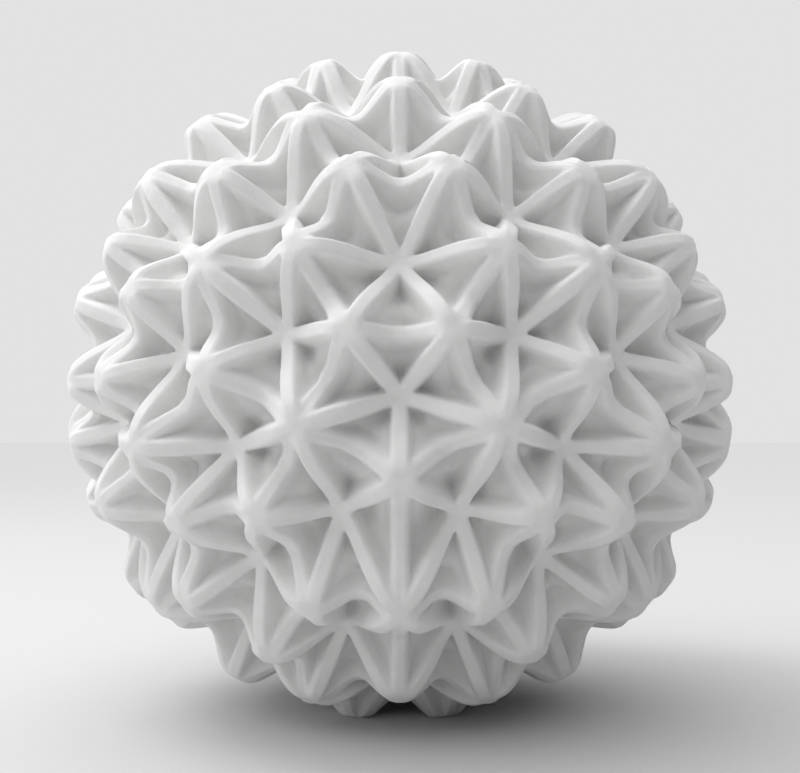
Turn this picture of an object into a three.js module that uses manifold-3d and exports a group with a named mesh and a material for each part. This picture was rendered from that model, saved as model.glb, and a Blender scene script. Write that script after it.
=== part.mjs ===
// A round decoration ball whose surface is a net of raised ribs around sunken cells.
// The ball is a hollow shell of sixteen folded units that meet along straight ribs:
// twelve five-sided units and four six-sided ones. It stands on the tips of one
// six-sided unit. Millimetres, +Z up, origin under the middle of the ball.

import * as THREE from 'three';
import { mergeVertices } from 'three/addons/utils/BufferGeometryUtils.js';
import Module from 'manifold-3d';

const wasm = await Module();
wasm.setup();

// Driving dimensions
const BALL_DIAMETER = 200;
const VALLEY_RATIO = 0.872;
const DIP_RATIO = 0.928;
const RIB_WIDTH = 5.4;
const RIB_HEIGHT = 7;
const WALL_SLOPE = 0.12;        // how far a window's walls lean in, over the window's size
const WALL = 1.6;               // the panels' thickness, measured along a radius
const UNIT_SHIFT = 0.35;        // each unit stands off the middle by this much
const FOOT_TRIM = 1.4;          // height taken off the six tips that it stands on
const RING_POSITION = 0.5;      // a unit's inner tips, from its middle (0) to its edge (1)

const RADIUS = BALL_DIAMETER / 2;
const RIB_HALF_WIDTH = RIB_WIDTH / 2;
const SHEET_COLOUR = 0xf1f0ec;
const SHEET_ROUGHNESS = 0.86;
const SAME_SIDE = 1e-6;

// ---- Where the units face --------------------------------------------------------------

// The twelve five-sided units face the orders of (3, 1, 1) with an even number of minus
// signs; the four six-sided units face the corners of a tetrahedron.
function fiveSidedDirections() {
  const directions = [];
  for (const longAxis of [0, 1, 2]) {
    for (const [first, second] of [[1, 1], [1, -1], [-1, 1], [-1, -1]]) {
      const direction = [first, second, first * second];
      direction[longAxis] *= 3;
      directions.push(new THREE.Vector3(...direction).normalize());
    }
  }
  return directions;
}

function sixSidedDirections() {
  const corners = [[-1, -1, -1], [1, 1, -1], [1, -1, 1], [-1, 1, 1]];
  return corners.map((corner) => new THREE.Vector3(...corner).normalize());
}

// Turns the ball so that the first six-sided unit faces down and the second one faces -Y.
function standingFrame([down, front]) {
  const up = down.clone().negate();
  const back = front.clone().addScaledVector(up, -front.dot(up)).normalize().negate();
  const side = back.clone().cross(up);
  return new THREE.Matrix4().makeBasis(side, back, up).transpose();
}

const sixSided = sixSidedDirections();
const frame = standingFrame(sixSided);
const faces = [...sixSided, ...fiveSidedDirections()].map((face) => face.applyMatrix4(frame));

// ---- The net of tips -------------------------------------------------------------------

function middle(...points) {
  const sum = new THREE.Vector3();
  for (const point of points) sum.add(point);
  return sum.normalize();
}

// A corner is where three neighbouring units meet.
function cornersOf(directions) {
  const corners = [];
  for (let i = 0; i < directions.length; i += 1) {
    for (let j = i + 1; j < directions.length; j += 1) {
      for (let k = j + 1; k < directions.length; k += 1) {
        const toSecond = directions[j].clone().sub(directions[i]);
        const toThird = directions[k].clone().sub(directions[i]);
        const normal = toSecond.cross(toThird).normalize();
        if (normal.dot(directions[i]) < 0) normal.negate();
        const height = normal.dot(directions[i]) + SAME_SIDE;
        if (directions.every((direction) => normal.dot(direction) <= height)) {
          corners.push({ point: normal, units: [i, j, k] });
        }
      }
    }
  }
  return corners;
}

function ringAround(axis, points) {
  const start = points[0].clone().addScaledVector(axis, -points[0].dot(axis)).normalize();
  const side = axis.clone().cross(start);
  const turn = (point) => Math.atan2(point.dot(side), point.dot(start));
  return [...points].sort((a, b) => turn(a) - turn(b));
}

// A unit has one cell in the middle and one cell at each corner.
function cellsOf(axis, corners) {
  const ring = ringAround(axis, corners);
  const next = (index) => (index + 1) % ring.length;
  const edgeTips = ring.map((corner, index) => middle(corner, ring[next(index)]));
  const innerTips = edgeTips.map((tip) => axis.clone().lerp(tip, RING_POSITION).normalize());
  const cells = [innerTips];
  ring.forEach((_, index) => {
    const after = next(index);
    cells.push([edgeTips[index], ring[after], edgeTips[after], innerTips[after], innerTips[index]]);
  });
  return { cells, ring, edgeTips };
}

// ---- The ribbed sheet ------------------------------------------------------------------

function atRadius(direction, radius) {
  return direction.clone().normalize().multiplyScalar(radius);
}

function dipBetween(first, second) {
  return atRadius(middle(first, second), RADIUS * DIP_RATIO);
}

function towards(from, to, distance) {
  return from.clone().addScaledVector(to.clone().sub(from).normalize(), distance);
}

function angleAt(corner, first, second) {
  return first.clone().sub(corner).angleTo(second.clone().sub(corner));
}

// Where the edges of the two ribs that leave a tip meet: one runs to the dip, the other to
// the valley. Its height is the mean height of both ribs beside it, so a rib's top is level
// across its width.
function crotchAtTip(tip, dip, valley) {
  const halfAngle = angleAt(tip, dip, valley) / 2;
  const run = RIB_HALF_WIDTH / Math.tan(halfAngle);
  const onDipRib = towards(tip, dip, run);
  const onValleyRib = towards(tip, valley, run);
  const height = (onDipRib.length() + onValleyRib.length()) / 2;
  const along = onDipRib.add(onValleyRib).divideScalar(2);
  return atRadius(towards(tip, along, RIB_HALF_WIDTH / Math.sin(halfAngle)), height);
}

function crotchAtDip(dip, tips, valley) {
  const angle = (angleAt(dip, tips[0], valley) + angleAt(dip, tips[1], valley)) / 2;
  return atRadius(towards(dip, valley, RIB_HALF_WIDTH / Math.sin(angle)), dip.length());
}

function crotchAtValley(valley, tips, dip) {
  const angle = angleAt(valley, tips[0], tips[1]) / 2;
  const run = RIB_HALF_WIDTH / Math.tan(angle);
  const height = towards(valley, tips[0], run).length();
  return atRadius(towards(valley, dip, RIB_HALF_WIDTH / Math.sin(angle)), height);
}

function quad(a, b, c, d) {
  return [[a, b, c], [a, c, d]];
}

// One window of a cell: the ribs' tops around it, its four sloping walls and its sunken
// panel, which is folded along the line from the dip to the valley.
function windowFacets(first, dip, second, valley) {
  const outer = [first, dip, second, valley];
  const inner = [
    crotchAtTip(first, dip, valley),
    crotchAtDip(dip, [first, second], valley),
    crotchAtTip(second, dip, valley),
    crotchAtValley(valley, [first, second], dip),
  ];
  const centre = inner[1].clone().add(inner[3]).divideScalar(2);
  const panel = inner.map((point) => {
    const sloped = point.clone().lerp(centre, WALL_SLOPE);
    return atRadius(sloped, sloped.length() - RIB_HEIGHT);
  });
  const facets = [];
  outer.forEach((corner, index) => {
    const after = (index + 1) % outer.length;
    facets.push(...quad(inner[index], corner, outer[after], inner[after]));
    facets.push(...quad(inner[index], inner[after], panel[after], panel[index]));
  });
  facets.push([panel[0], panel[1], panel[3]], [panel[1], panel[2], panel[3]]);
  return facets;
}

function inward(point) {
  return atRadius(point, point.length() - RIB_HEIGHT - WALL);
}

// A cell is a star of windows around its sunken middle. Its back follows the same folds.
function cellFacets(tips) {
  const valley = atRadius(middle(...tips), RADIUS * VALLEY_RATIO);
  const facets = [];
  tips.forEach((tip, index) => {
    const after = tips[(index + 1) % tips.length];
    const first = atRadius(tip, RADIUS);
    const second = atRadius(after, RADIUS);
    const dip = dipBetween(tip, after);
    facets.push(...windowFacets(first, dip, second, valley));
    facets.push([first, valley, dip].map(inward), [dip, valley, second].map(inward));
  });
  return facets;
}

function rimFacets(ring, edgeTips) {
  const facets = [];
  const rim = ring.flatMap((corner, index) => [corner, edgeTips[index]]);
  rim.forEach((tip, index) => {
    const after = rim[(index + 1) % rim.length];
    const dip = dipBetween(tip, after);
    for (const [from, to] of [[atRadius(tip, RADIUS), dip], [dip, atRadius(after, RADIUS)]]) {
      facets.push(...quad(from, inward(from), inward(to), to));
    }
  });
  return facets;
}

function sheetGeometry(axis, corners) {
  const { cells, ring, edgeTips } = cellsOf(axis, corners);
  const facets = [...cells.flatMap(cellFacets), ...rimFacets(ring, edgeTips)];
  const geometry = new THREE.BufferGeometry().setFromPoints(facets.flat());
  return mergeVertices(geometry, SAME_SIDE * RADIUS);
}

// ---- Feet ------------------------------------------------------------------------------

function toSolid(geometry) {
  const positionOnly = geometry.clone();
  positionOnly.deleteAttribute('normal');
  positionOnly.deleteAttribute('uv');
  const merged = mergeVertices(positionOnly, SAME_SIDE * RADIUS);
  return new wasm.Manifold(new wasm.Mesh({
    numProp: 3,
    vertProperties: new Float32Array(merged.attributes.position.array),
    triVerts: new Uint32Array(merged.index.array),
  }));
}

function toGeometry(solid) {
  const mesh = solid.getMesh();
  const geometry = new THREE.BufferGeometry();
  geometry.setAttribute('position', new THREE.BufferAttribute(mesh.vertProperties, mesh.numProp));
  geometry.setIndex(new THREE.BufferAttribute(mesh.triVerts, 1));
  return geometry;
}

// The lowest tips are cut level, so the ball stands on flat feet.
function trimmedBelow(geometry, level) {
  const block = new THREE.BoxGeometry(BALL_DIAMETER, BALL_DIAMETER, RADIUS);
  block.translate(0, 0, level - RADIUS / 2);
  return toGeometry(toSolid(geometry).subtract(toSolid(block)));
}

// ---- Assembly --------------------------------------------------------------------------

const corners = cornersOf(faces);
const ball = new THREE.Group();

faces.forEach((axis, unit) => {
  const own = corners.filter((corner) => corner.units.includes(unit)).map(({ point }) => point);
  const sixSidedUnit = unit < sixSided.length;
  let geometry = sheetGeometry(axis, own);
  if (unit === 0) {
    geometry.computeBoundingBox();
    geometry = trimmedBelow(geometry, geometry.boundingBox.min.z + FOOT_TRIM);
  }
  const material = new THREE.MeshStandardMaterial({
    color: SHEET_COLOUR,
    roughness: SHEET_ROUGHNESS,
    metalness: 0,
  });
  const mesh = new THREE.Mesh(geometry, material);
  const count = sixSidedUnit ? unit + 1 : unit + 1 - sixSided.length;
  mesh.name = `${sixSidedUnit ? 'six' : 'five'}_sided_unit_${String(count).padStart(2, '0')}`;
  mesh.position.copy(axis).multiplyScalar(UNIT_SHIFT);
  ball.add(mesh);
});

// The origin is under the middle of the ball, where it stands.
const extent = new THREE.Box3().setFromObject(ball, true);
const centre = extent.getCenter(new THREE.Vector3());
ball.position.set(-centre.x, -centre.y, -extent.min.z);

export default ball;
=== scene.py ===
"""A hollow paper ball with a net of raised ribs around sunken cells, standing on a pale table."""

import math

import bmesh
import bpy
import numpy as np
from mathutils import Matrix, Vector


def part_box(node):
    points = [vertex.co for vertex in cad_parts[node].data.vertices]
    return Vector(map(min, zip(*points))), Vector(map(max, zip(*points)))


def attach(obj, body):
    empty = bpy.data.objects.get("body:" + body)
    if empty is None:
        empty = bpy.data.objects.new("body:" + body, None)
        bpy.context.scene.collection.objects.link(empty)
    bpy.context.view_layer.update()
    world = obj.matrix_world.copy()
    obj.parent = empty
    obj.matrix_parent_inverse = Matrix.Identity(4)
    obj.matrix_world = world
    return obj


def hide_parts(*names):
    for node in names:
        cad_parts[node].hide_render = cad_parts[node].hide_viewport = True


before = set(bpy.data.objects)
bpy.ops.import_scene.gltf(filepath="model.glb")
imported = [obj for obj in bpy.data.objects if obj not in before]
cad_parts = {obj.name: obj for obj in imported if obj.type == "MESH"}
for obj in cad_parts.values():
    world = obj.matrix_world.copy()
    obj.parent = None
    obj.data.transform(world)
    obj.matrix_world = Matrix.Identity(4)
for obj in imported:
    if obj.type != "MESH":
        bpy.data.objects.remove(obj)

bl_info = {
    "name": "Ribbed Paper Ball",
    "version": (1, 0, 0),
    "blender": (4, 5, 0),
    "location": "View3D > Sidebar > Paper Ball",
    "description": "Builds a hollow paper ball from ribbed units around a fixed frame",
    "category": "Object",
}

BODY = "root"
UNIT_LAYER = "unit"
SKIN_NAME = "whole_skin"
PAPER = "matte_white_paper"
MILLIMETRE = 0.001
BALL_RADIUS = 100 * MILLIMETRE
MERGE_REACH = 0.05 * MILLIMETRE
COPY_REACH = MERGE_REACH / 10  # closer than this, two corners of a CAD copy are one

# How the folds are told apart
RIM_SLANT = 0.012  # a rim face stands along the radius to within this
BACK_SLANT = 0.05  # a back face looks inwards by more than this
TIP_RATIO = 0.96  # dips and valleys lie below this share of the ball's radius

# How the ribs are shaped
HUB_SHARE = 0.1  # a rib is level over this share of its length from its tip
HUB_BLEND = 0.15  # how far ribs blend where they meet, in rib widths
CREST_POWER = 4  # how much more a near rib counts than a far one
FOLD_CUTS = 19  # cuts across each fold's edges
PLACES_AT_ONCE = 4000  # heights worked out in one go
TINY = 1e-12  # keeps a root and a division off zero

# The stage, in metres
GLOW_FROM = Vector((-0.4, 0.12, 0.9))
DIMMEST = 0.02  # the room's brightness on the side away from the glow
LAMP_OFFSET = Vector((-0.45, 0.1, 0.8))
LAMP_SIZE = 0.4
FLOOR_REACH = 3.0
NEAR_CLIP = 0.01


# ---- Settings --------------------------------------------------------------------------


class PaperBallSheet(bpy.types.PropertyGroup):
    rib_width: bpy.props.FloatProperty(
        name="Rib width",
        description="Width of a rib between the windows on its two sides",
        default=5.4 * MILLIMETRE,
        min=0.001,
        unit="LENGTH",
    )
    rib_height: bpy.props.FloatProperty(
        name="Rib height",
        description="Height of a rib's top over the sunken panels",
        default=7.6 * MILLIMETRE,
        min=0.001,
        unit="LENGTH",
    )
    side_steepness: bpy.props.FloatProperty(
        name="Side steepness",
        description="How steep a rib's sides are: 2 is a soft swell, 8 is nearly square",
        default=9.0,
        min=2.0,
        max=12.0,
    )
    wall: bpy.props.FloatProperty(
        name="Wall",
        description="Thickness of the sheet, measured along a radius of the ball",
        default=1.6 * MILLIMETRE,
        min=0.0002,
        unit="LENGTH",
    )


class PaperBallLooks(bpy.types.PropertyGroup):
    colour: bpy.props.FloatVectorProperty(
        name="Paper colour",
        description="Colour of the bare paper",
        subtype="COLOR",
        size=3,
        default=(0.82, 0.82, 0.815),
        min=0.0,
        max=1.0,
    )
    cloudiness: bpy.props.FloatProperty(
        name="Cloudiness",
        description="Brightness of the darker clouds in the paper, over that of the rest",
        default=0.95,
        min=0.5,
        max=1.0,
    )
    fibre_size: bpy.props.FloatProperty(
        name="Fibre size",
        description="Size of the fibres that show on the surface",
        default=0.6 * MILLIMETRE,
        min=0.00001,
        unit="LENGTH",
    )


class PaperBallStage(bpy.types.PropertyGroup):
    camera_distance: bpy.props.FloatProperty(
        name="Camera distance",
        description="From the ball's middle to the camera, in ball radii",
        default=4.0,
        min=1.5,
    )
    camera_elevation: bpy.props.FloatProperty(
        name="Camera elevation",
        description="How far the camera looks down",
        subtype="ANGLE",
        default=math.radians(-1.0),
    )
    ball_in_frame: bpy.props.FloatProperty(
        name="Ball in frame",
        description="Width of the ball over the width of the picture",
        default=0.8375,
        min=0.1,
        max=1.0,
    )
    glow_strength: bpy.props.FloatProperty(
        name="Glow strength",
        description="Brightness of the room where the soft light comes from",
        default=1.9,
        min=0.0,
    )
    lamp_power: bpy.props.FloatProperty(
        name="Lamp power",
        description="Power of the soft lamp above the ball",
        default=2.2,
        min=0.0,
        unit="POWER",
    )
    floor_tone: bpy.props.FloatProperty(
        name="Floor tone",
        description="How pale the floor is",
        default=0.62,
        min=0.0,
        max=1.0,
    )
    backdrop: bpy.props.FloatProperty(
        name="Backdrop",
        description="How pale the room looks behind the floor, so that the two run together",
        default=0.76,
        min=0.0,
        max=1.0,
    )


# ---- Reading the frame -----------------------------------------------------------------


def merged_copy(node):
    """A CAD node's shape with its loose triangles joined up."""
    shape = bmesh.new()
    shape.from_mesh(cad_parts[node].data)
    bmesh.ops.remove_doubles(shape, verts=shape.verts, dist=COPY_REACH)
    return shape


def ball_guess():
    """The ball's middle, from the frame's box: its top is a tip, its foot is cut level."""
    boxes = [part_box(node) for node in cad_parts]
    low = Vector([min(box[0][axis] for box in boxes) for axis in range(3)])
    high = Vector([max(box[1][axis] for box in boxes) for axis in range(3)])
    middle = (low + high) / 2
    middle.z = high.z - (high.x - low.x) / 2
    return middle


def slant(face, centre):
    """The cosine between a face and the radius through it."""
    return face.normal.dot((face.calc_center_median() - centre).normalized())


def unit_centre(shape, guess):
    """The point that all of a unit's rim faces point at, by least squares."""
    rims = [face for face in shape.faces if abs(slant(face, guess)) < RIM_SLANT]
    normals = np.array([face.normal for face in rims])
    offsets = np.array([face.normal.dot(face.calc_center_median()) for face in rims])
    return Vector(np.linalg.lstsq(normals, offsets, rcond=None)[0])


def keep_back(shape, guess):
    """Leaves only the plain folded back of a unit."""
    front = [face for face in shape.faces if slant(face, guess) > -BACK_SLANT]
    bmesh.ops.delete(shape, geom=front, context="FACES")


def move_along_radius(verts, centre, distance):
    for vert in verts:
        arm = vert.co - centre
        vert.co = centre + arm * (1 + distance / arm.length)


# ---- The whole skin --------------------------------------------------------------------


def folded_skin():
    """The folds of the whole ball, one coarse facet for each, brought out to the ribs' tops.

    The backs of the units carry the same folds as their fronts, so they are moved out until
    their tips lie on the sphere. Each unit is brought home to the ball's middle first.
    """
    guess = ball_guess()
    names = sorted(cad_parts)
    shapes = [merged_copy(name) for name in names]
    centres = [unit_centre(shape, guess) for shape in shapes]
    centre = sum(centres, Vector()) / len(centres)
    skin = bmesh.new()
    layer = skin.faces.layers.int.new(UNIT_LAYER)
    for index, (shape, own_centre) in enumerate(zip(shapes, centres)):
        keep_back(shape, guess)
        bmesh.ops.reverse_faces(shape, faces=shape.faces)
        bmesh.ops.translate(shape, verts=shape.verts, vec=centre - own_centre)
        part = bpy.data.meshes.new("part")
        shape.to_mesh(part)
        shape.free()
        before = len(skin.faces)
        skin.from_mesh(part)
        bpy.data.meshes.remove(part)
        skin.faces.ensure_lookup_table()
        for face in skin.faces[before:]:
            face[layer] = index
    reach = max((vert.co - centre).length for vert in skin.verts)
    move_along_radius(skin.verts, centre, BALL_RADIUS - reach)
    bmesh.ops.remove_doubles(skin, verts=skin.verts, dist=MERGE_REACH)
    return skin, centre, names


def rib_lines(skin, centre):
    """The tip end and the low end of every rib: all folds but those from a dip to a valley."""
    radius = max((vert.co - centre).length for vert in skin.verts)
    ribs = []
    for fold in skin.edges:
        ends = sorted((vert.co - centre for vert in fold.verts), key=lambda end: -end.length)
        if ends[0].length > TIP_RATIO * radius:
            ribs.append(ends)
    return np.array(ribs)


def eased(share):
    """A smooth rise from 0 to 1 that starts and ends level."""
    share = np.clip((share - HUB_SHARE) / (1 - HUB_SHARE), 0, 1)
    return share * share * (3 - 2 * share)


def ribbed_heights(ways, ribs, sheet):
    """How far from the ball's middle the ribbed skin lies along each way, a unit vector.

    A rib's crest leaves its tip level, falls, and levels out again at its low end. Near ribs
    count most in the height of the crests. Between them the skin sinks by the ribs' height,
    steeply at a rib's sides and gently on its round top.
    """
    lengths = np.linalg.norm(ribs, axis=2)
    tips = ribs[:, 0] / lengths[:, :1]
    runs = ribs[:, 1] / lengths[:, 1:] - tips
    squared_run = (runs * runs).sum(axis=1)
    tip_run = (tips * runs).sum(axis=1)
    on_run = ways @ runs.T
    share = np.clip((on_run - tip_run) / squared_run, 0, 1)
    reach = ways @ tips.T + share * on_run
    aside = 1 + 2 * share * tip_run + share * share * squared_run - reach * reach
    aside = BALL_RADIUS * np.sqrt(np.where(reach > 0, aside, 1).clip(TINY))
    crest = lengths[:, 0] - (lengths[:, 0] - lengths[:, 1]) * eased(share)
    weight = (aside + HUB_BLEND * sheet.rib_width) ** -CREST_POWER
    crest = (weight * crest).sum(axis=1) / weight.sum(axis=1)
    nearness = ((2 * aside / sheet.rib_width) ** -sheet.side_steepness).sum(axis=1)
    return crest - sheet.rib_height / (1 + nearness)


def raise_ribs(skin, centre, ribs, sheet):
    """Moves every corner of the finely divided skin to its height."""
    places = np.array([vert.co - centre for vert in skin.verts])
    ways = places / np.linalg.norm(places, axis=1)[:, None]
    parts = np.array_split(ways, len(ways) // PLACES_AT_ONCE + 1)
    heights = np.concatenate([ribbed_heights(part, ribs, sheet) for part in parts])
    for vert, way, height in zip(skin.verts, ways, heights):
        vert.co = centre + Vector(way * height)
        vert.co.z = max(vert.co.z, 0)


class PAPERBALL_OT_skin(bpy.types.Operator):
    """Shapes the soft ribbed skin of the whole ball, from which the units are cut"""

    bl_idname = "paper_ball.skin"
    bl_label = "Shape the Skin"

    def execute(self, context):
        sheet = context.scene.paper_ball_sheet
        skin, centre, names = folded_skin()
        ribs = rib_lines(skin, centre)
        bmesh.ops.subdivide_edges(skin, edges=skin.edges, cuts=FOLD_CUTS, use_grid_fill=True)
        raise_ribs(skin, centre, ribs, sheet)
        mesh = bpy.data.meshes.new(SKIN_NAME)
        skin.to_mesh(mesh)
        skin.free()
        mesh["centre"] = tuple(centre)
        mesh["units"] = names
        return {"FINISHED"}


# ---- Paper -----------------------------------------------------------------------------


def added(tree, kind, **inputs):
    """A new shader node with its inputs set."""
    made = tree.nodes.new(kind)
    for name, value in inputs.items():
        made.inputs[name.replace("_", " ")].default_value = value
    return made


def mapped_noise(tree, place, size, detail, roughness):
    noise = added(tree, "ShaderNodeTexNoise", Scale=1 / size, Detail=detail, Roughness=roughness)
    tree.links.new(place, noise.inputs["Vector"])
    return noise.outputs["Fac"]


PAPER_SOCKETS = {
    "Specular IOR Level": 0.3,
    "Subsurface Weight": 0.15,
    "Subsurface Radius": (1, 1, 1),
    "Subsurface Scale": MILLIMETRE,
    "Sheen Weight": 0.15,
    "Sheen Roughness": 0.6,
}


def paper_material(looks):
    """Matte moulded paper: faint cloudy tone, matted fibres and a soft inner glow."""
    if PAPER in bpy.data.materials:
        return bpy.data.materials[PAPER]
    material = bpy.data.materials.new(PAPER)
    material.use_nodes = True
    tree = material.node_tree
    link = tree.links.new
    shader = tree.nodes["Principled BSDF"]
    for socket, value in PAPER_SOCKETS.items():
        shader.inputs[socket].default_value = value
    place = tree.nodes.new("ShaderNodeTexCoord").outputs["Object"]

    tone = tree.nodes.new("ShaderNodeValToRGB")
    shade = [channel * looks.cloudiness for channel in looks.colour]
    tone.color_ramp.elements[0].position = 0.35
    tone.color_ramp.elements[0].color = (*shade, 1)
    tone.color_ramp.elements[1].position = 0.65
    tone.color_ramp.elements[1].color = (*looks.colour, 1)
    link(mapped_noise(tree, place, 12 * looks.fibre_size, 5, 0.6), tone.inputs["Fac"])
    link(tone.outputs["Color"], shader.inputs["Base Color"])

    rough = added(tree, "ShaderNodeMapRange", To_Min=0.66, To_Max=0.84)
    link(mapped_noise(tree, place, 2 * looks.fibre_size, 3, 0.5), rough.inputs["Value"])
    link(rough.outputs["Result"], shader.inputs["Roughness"])

    fibres = added(tree, "ShaderNodeMapping", Scale=(1, 1, 0.35))
    link(place, fibres.inputs["Vector"])
    matted = mapped_noise(tree, fibres.outputs["Vector"], looks.fibre_size, 8, 0.65)
    pulp = mapped_noise(tree, place, 7 * looks.fibre_size, 3, 0.5)
    relief = added(tree, "ShaderNodeBump", Strength=0.5, Distance=0.25 * MILLIMETRE)
    waves = added(tree, "ShaderNodeBump", Strength=0.5, Distance=0.8 * MILLIMETRE)
    link(matted, relief.inputs["Height"])
    link(pulp, waves.inputs["Height"])
    link(waves.outputs["Normal"], relief.inputs["Normal"])
    link(relief.outputs["Normal"], shader.inputs["Normal"])
    return material


# ---- Units -----------------------------------------------------------------------------


def unit_shell(name, wall):
    """One unit of the skin, given its thickness: a closed shell with crisp rims."""
    skin = bpy.data.meshes[SKIN_NAME]
    centre = Vector(skin["centre"])
    index = list(skin["units"]).index(name)
    shell = bmesh.new()
    shell.from_mesh(skin)
    layer = shell.faces.layers.int[UNIT_LAYER]
    others = [face for face in shell.faces if face[layer] != index]
    bmesh.ops.delete(shell, geom=others, context="FACES")
    back = bmesh.ops.duplicate(shell, geom=list(shell.faces))
    copies = [item for item in back["geom"] if isinstance(item, bmesh.types.BMFace)]
    back_verts = [item for item in back["geom"] if isinstance(item, bmesh.types.BMVert)]
    bmesh.ops.reverse_faces(shell, faces=copies)
    move_along_radius(back_verts, centre, -wall)
    rims = [edge for edge in shell.edges if edge.is_boundary]
    bmesh.ops.bridge_loops(shell, edges=rims)
    for edge in rims:
        edge.smooth = False
    for face in shell.faces:
        face.smooth = True
    bmesh.ops.recalc_face_normals(shell, faces=shell.faces)
    mesh = bpy.data.meshes.new(name + "_paper")
    shell.to_mesh(mesh)
    shell.free()
    return mesh


def make_units(context, prefix):
    sheet = context.scene.paper_ball_sheet
    looks = context.scene.paper_ball_looks
    for name in sorted(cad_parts):
        if not name.startswith(prefix):
            continue
        mesh = unit_shell(name, sheet.wall)
        mesh.materials.append(paper_material(looks))
        piece = bpy.data.objects.new(name + "_paper", mesh)
        context.scene.collection.objects.link(piece)
        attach(piece, BODY)
        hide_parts(name)


class PAPERBALL_OT_six_sided_units(bpy.types.Operator):
    """Makes the six-sided units, one of which the ball stands on"""

    bl_idname = "paper_ball.six_sided_units"
    bl_label = "Six-Sided Units"

    def execute(self, context):
        make_units(context, "six_sided")
        return {"FINISHED"}


class PAPERBALL_OT_five_sided_units(bpy.types.Operator):
    """Makes the five-sided units"""

    bl_idname = "paper_ball.five_sided_units"
    bl_label = "Five-Sided Units"

    def execute(self, context):
        make_units(context, "five_sided")
        return {"FINISHED"}


# ---- Stage -----------------------------------------------------------------------------


def area_light(context, name, place, aim, size, power):
    light = bpy.data.lights.new(name, "AREA")
    light.shape = "DISK"
    light.size = size
    light.energy = power
    lamp = bpy.data.objects.new(name, light)
    lamp.location = place
    lamp.rotation_euler = (aim - place).to_track_quat("-Z", "Y").to_euler()
    context.scene.collection.objects.link(lamp)


def make_floor(context, stage):
    shape = bmesh.new()
    bmesh.ops.create_grid(shape, x_segments=1, y_segments=1, size=FLOOR_REACH)
    mesh = bpy.data.meshes.new("floor")
    shape.to_mesh(mesh)
    shape.free()
    material = bpy.data.materials.new("floor")
    material.use_nodes = True
    shader = material.node_tree.nodes["Principled BSDF"]
    tone = stage.floor_tone
    shader.inputs["Base Color"].default_value = (tone, tone, tone, 1)
    shader.inputs["Specular IOR Level"].default_value = 0
    mesh.materials.append(material)
    floor = bpy.data.objects.new("floor", mesh)
    context.scene.collection.objects.link(floor)


def studio_world(stage):
    """A white room lit by one broad soft glow, above the ball and to its left.

    The glow lights the ball and the floor; what shows behind the floor is one even tone.
    """
    world = bpy.data.worlds.new("studio")
    world.use_nodes = True
    tree = world.node_tree
    glow = tree.nodes["Background"]
    glow.inputs["Color"].default_value = (1, 1, 1, 1)
    place = tree.nodes.new("ShaderNodeTexCoord").outputs["Generated"]
    facing = tree.nodes.new("ShaderNodeVectorMath")
    facing.operation = "DOT_PRODUCT"
    facing.inputs[1].default_value = GLOW_FROM.normalized()
    strength = added(tree, "ShaderNodeMapRange", To_Min=DIMMEST, To_Max=stage.glow_strength)
    backdrop = added(tree, "ShaderNodeBackground", Color=(1, 1, 1, 1), Strength=stage.backdrop)
    seen = tree.nodes.new("ShaderNodeLightPath").outputs["Is Camera Ray"]
    choice = tree.nodes.new("ShaderNodeMixShader")
    link = tree.links.new
    link(place, facing.inputs[0])
    link(facing.outputs["Value"], strength.inputs["Value"])
    link(strength.outputs["Result"], glow.inputs["Strength"])
    link(seen, choice.inputs["Fac"])
    link(glow.outputs["Background"], choice.inputs[1])
    link(backdrop.outputs["Background"], choice.inputs[2])
    link(choice.outputs["Shader"], tree.nodes["World Output"].inputs["Surface"])
    return world


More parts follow.
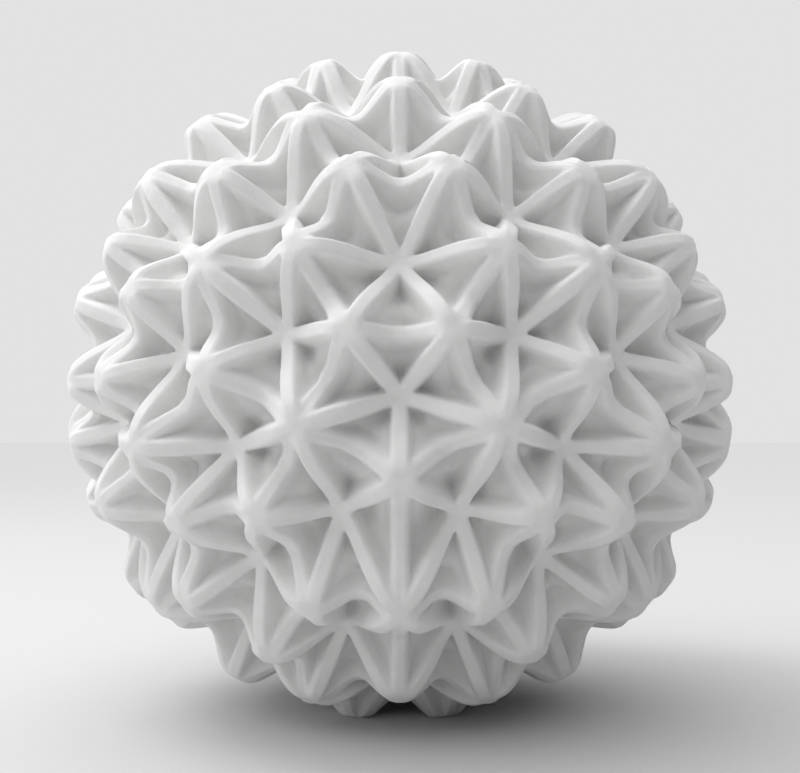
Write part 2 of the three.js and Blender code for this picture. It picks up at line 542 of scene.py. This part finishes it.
class PAPERBALL_OT_stage(bpy.types.Operator):
    """Makes the pale floor, the soft light and the camera"""

    bl_idname = "paper_ball.stage"
    bl_label = "Stage"

    def execute(self, context):
        stage = context.scene.paper_ball_stage
        skin = bpy.data.meshes[SKIN_NAME]
        centre = Vector(skin["centre"])
        make_floor(context, stage)
        area_light(context, "top", centre + LAMP_OFFSET, centre, LAMP_SIZE, stage.lamp_power)
        context.scene.world = studio_world(stage)
        context.scene.view_settings.view_transform = "Standard"
        distance = stage.camera_distance
        camera = bpy.data.cameras.new("camera")
        half_angle = math.asin(1 / distance)
        camera.lens = camera.sensor_width / 2 * stage.ball_in_frame / math.tan(half_angle)
        camera.clip_start = NEAR_CLIP
        eye = bpy.data.objects.new("camera", camera)
        tilt = stage.camera_elevation
        back = Vector((0, -math.cos(tilt), math.sin(tilt)))
        eye.location = centre + back * distance * BALL_RADIUS
        eye.rotation_euler = back.to_track_quat("Z", "Y").to_euler()
        context.scene.collection.objects.link(eye)
        context.scene.camera = eye
        return {"FINISHED"}


# ---- Panel and registration ------------------------------------------------------------


class PAPERBALL_PT_panel(bpy.types.Panel):
    """Lists the steps that build the ball"""

    bl_idname = "PAPERBALL_PT_panel"
    bl_label = "Paper Ball"
    bl_space_type = "VIEW_3D"
    bl_region_type = "UI"
    bl_category = "Paper Ball"

    def draw(self, context):
        for step in STEPS:
            self.layout.operator(step.bl_idname)


STEPS = (
    PAPERBALL_OT_skin,
    PAPERBALL_OT_six_sided_units,
    PAPERBALL_OT_five_sided_units,
    PAPERBALL_OT_stage,
)
SETTINGS = {
    "paper_ball_sheet": PaperBallSheet,
    "paper_ball_looks": PaperBallLooks,
    "paper_ball_stage": PaperBallStage,
}


def register():
    for kind in (*SETTINGS.values(), *STEPS, PAPERBALL_PT_panel):
        bpy.utils.register_class(kind)
    for name, kind in SETTINGS.items():
        setattr(bpy.types.Scene, name, bpy.props.PointerProperty(type=kind))


def unregister():
    for name in SETTINGS:
        delattr(bpy.types.Scene, name)
    for kind in (PAPERBALL_PT_panel, *reversed(STEPS), *SETTINGS.values()):
        bpy.utils.unregister_class(kind)


def main():
    register()
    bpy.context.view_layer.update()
    bpy.ops.paper_ball.skin()
    bpy.ops.paper_ball.six_sided_units()
    bpy.ops.paper_ball.five_sided_units()
    bpy.ops.paper_ball.stage()
    bpy.data.meshes.remove(bpy.data.meshes[SKIN_NAME])


if __name__ == "__main__":
    main()
